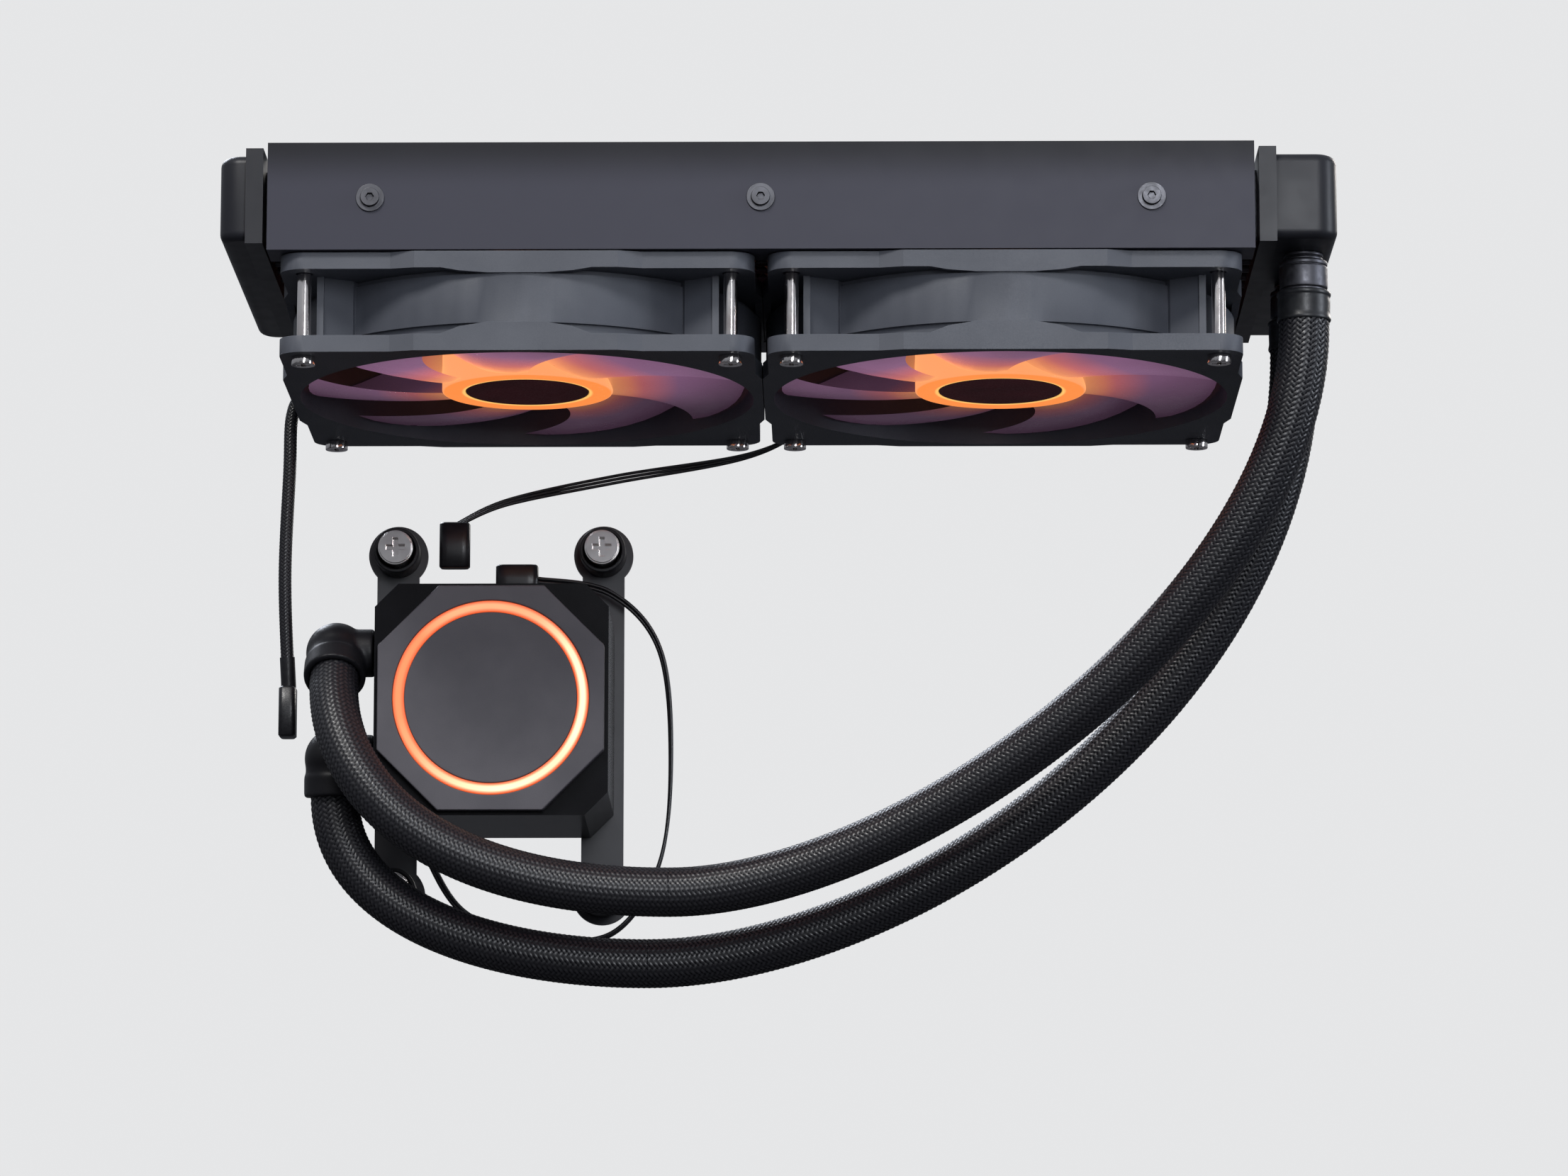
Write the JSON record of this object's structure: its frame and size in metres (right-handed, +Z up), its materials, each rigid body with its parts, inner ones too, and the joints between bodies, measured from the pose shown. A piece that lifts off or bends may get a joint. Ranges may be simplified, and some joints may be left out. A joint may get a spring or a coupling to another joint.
{
  "type": "liquid cooling radiator",
  "caption": "Closed-loop liquid cooler: finned radiator with ported end tank, fans beneath, braided hoses and a ring-lit pump head with sprung mounting bars.",
  "frame": {"origin": "centre of the radiator's top mounting face", "axes": "+X along the radiator towards the tank with the hose ports, +Y away from the open side of the case towards the motherboard, +Z up out of the mounting face"},
  "size_m": [0.2771, 0.1416, 0.1983],
  "materials": {
    "dark_painted_steel": "satin, fine texture",
    "tank_paint": "satin",
    "dark_screw": "black oxide",
    "brass": "machined",
    "core_aluminium": "black anodised",
    "heat_shrink": "satin",
    "frame_plastic": "fine grain",
    "copper": "machined copper",
    "circuit_board": "solder mask",
    "smoky_blade": "translucent smoky plastic",
    "magnet": "bonded ferrite",
    "shaft_steel": "ground",
    "hub_disc": "satin",
    "cable_sheath": "satin",
    "chrome_screw": "polished",
    "spring_steel": "drawn wire",
    "hose_rubber": "matte",
    "braided_nylon": "glossy braid",
    "gloss_black": "gloss",
    "cap_charcoal": "fine matte",
    "ring_light": "lit diffuser",
    "white_plastic": "moulded",
    "bar_steel": "satin",
    "elbow_plastic": "satin"
  },
  "bodies": {
    "radiator": {"front_side_channel": "dark_painted_steel", "rear_side_channel": "dark_painted_steel", "side_channel_screws": "dark_screw", "left_header_plate": "tank_paint", "right_header_plate": "tank_paint", "left_end_tank": "tank_paint", "port_end_tank": "tank_paint", "tank_divider": "brass", "flat_tubes": "core_aluminium", "cooling_fins": "core_aluminium", "port_fittings": "core_aluminium", "crimp_ferrules": "tank_paint", "port_collars": "heat_shrink", "fill_plug": "dark_screw", "fan_left_frame": "frame_plastic", "fan_left_bearing": "brass", "fan_left_stator": "copper", "fan_left_led_board": "circuit_board", "fan_left_cable": "cable_sheath", "fan_right_frame": "frame_plastic", "fan_right_bearing": "brass", "fan_right_stator": "copper", "fan_right_led_board": "circuit_board", "fan_right_cable": "cable_sheath", "fan_screws": "chrome_screw", "inner_hose": "hose_rubber", "inner_sleeve": "braided_nylon", "outer_hose": "hose_rubber", "outer_sleeve": "braided_nylon"},
    "fan_left_rotor_body": {"fan_left_rotor": "smoky_blade", "fan_left_magnet_ring": "magnet", "fan_left_shaft": "shaft_steel", "fan_left_hub_disc": "hub_disc"},
    "fan_right_rotor_body": {"fan_right_rotor": "smoky_blade", "fan_right_magnet_ring": "magnet", "fan_right_shaft": "shaft_steel", "fan_right_hub_disc": "hub_disc"},
    "pump_head": {"pump_housing": "gloss_black", "cap_bezel": "cap_charcoal", "cap_centre_disc": "cap_charcoal", "light_guide": "ring_light", "pump_light_board": "circuit_board", "pump_stator": "copper", "impeller_shaft": "shaft_steel", "volute_plate": "white_plastic", "cold_plate": "copper", "plate_gasket": "hose_rubber", "pump_head_screws": "chrome_screw", "mounting_bars": "bar_steel", "elbow_o_rings": "hose_rubber", "spring_cups": "elbow_plastic", "mounting_springs": "spring_steel", "pump_cable": "cable_sheath"},
    "impeller_body": {"impeller": "white_plastic"},
    "upper_elbow_body": {"upper_elbow": "elbow_plastic"},
    "lower_elbow_body": {"lower_elbow": "elbow_plastic"},
    "screw_1_body": {"mounting_screw_1": "chrome_screw"},
    "screw_2_body": {"mounting_screw_2": "chrome_screw"},
    "screw_3_body": {"mounting_screw_3": "chrome_screw"},
    "screw_4_body": {"mounting_screw_4": "chrome_screw"}
  },
  "joints": [
    {"name": "fan_left_spin", "type": "hinge", "parent": "radiator", "child": "fan_left_rotor_body", "pos_m": [-0.06, 0, -0.0398], "axis": [0, 0, 1], "continuous": true},
    {"name": "fan_right_spin", "type": "hinge", "parent": "radiator", "child": "fan_right_rotor_body", "pos_m": [0.06, 0, -0.0398], "axis": [0, 0, 1], "continuous": true},
    {"name": "pump_swing", "type": "hinge", "parent": "radiator", "child": "pump_head", "pos_m": [0, -0.021, -0.033], "axis": [1, 0, 0], "range_deg": [-60, 3], "stiffness_Nm_per_rad": 0.6, "deforming": ["inner_hose", "inner_sleeve", "outer_hose", "outer_sleeve"]},
    {"name": "impeller_spin", "type": "hinge", "parent": "pump_head", "child": "impeller_body", "pos_m": [-0.07, 0.045, -0.125], "axis": [0, 1, 0], "continuous": true},
    {"name": "upper_elbow_swivel", "type": "hinge", "parent": "pump_head", "child": "upper_elbow_body", "pos_m": [-0.1105, 0.036, -0.11125], "axis": [1, 0, 0], "range_deg": [-15, 15], "deforming": ["inner_hose", "inner_sleeve"]},
    {"name": "lower_elbow_swivel", "type": "hinge", "parent": "pump_head", "child": "lower_elbow_body", "pos_m": [-0.1105, 0.036, -0.13875], "axis": [1, 0, 0], "range_deg": [-15, 15], "deforming": ["outer_hose", "outer_sleeve"]},
    {"name": "screw_1_press", "type": "slide", "parent": "pump_head", "child": "screw_1_body", "axis": [0, 1, 0], "range_m": [0, 0.0032], "stiffness_N_per_m": 3000, "deforming": ["mounting_springs"]},
    {"name": "screw_2_press", "type": "slide", "parent": "pump_head", "child": "screw_2_body", "axis": [0, 1, 0], "range_m": [0, 0.0032], "stiffness_N_per_m": 3000, "deforming": ["mounting_springs"]},
    {"name": "screw_3_press", "type": "slide", "parent": "pump_head", "child": "screw_3_body", "axis": [0, 1, 0], "range_m": [0, 0.0032], "stiffness_N_per_m": 3000, "deforming": ["mounting_springs"]},
    {"name": "screw_4_press", "type": "slide", "parent": "pump_head", "child": "screw_4_body", "axis": [0, 1, 0], "range_m": [0, 0.0032], "stiffness_N_per_m": 3000, "deforming": ["mounting_springs"]}
  ]
}
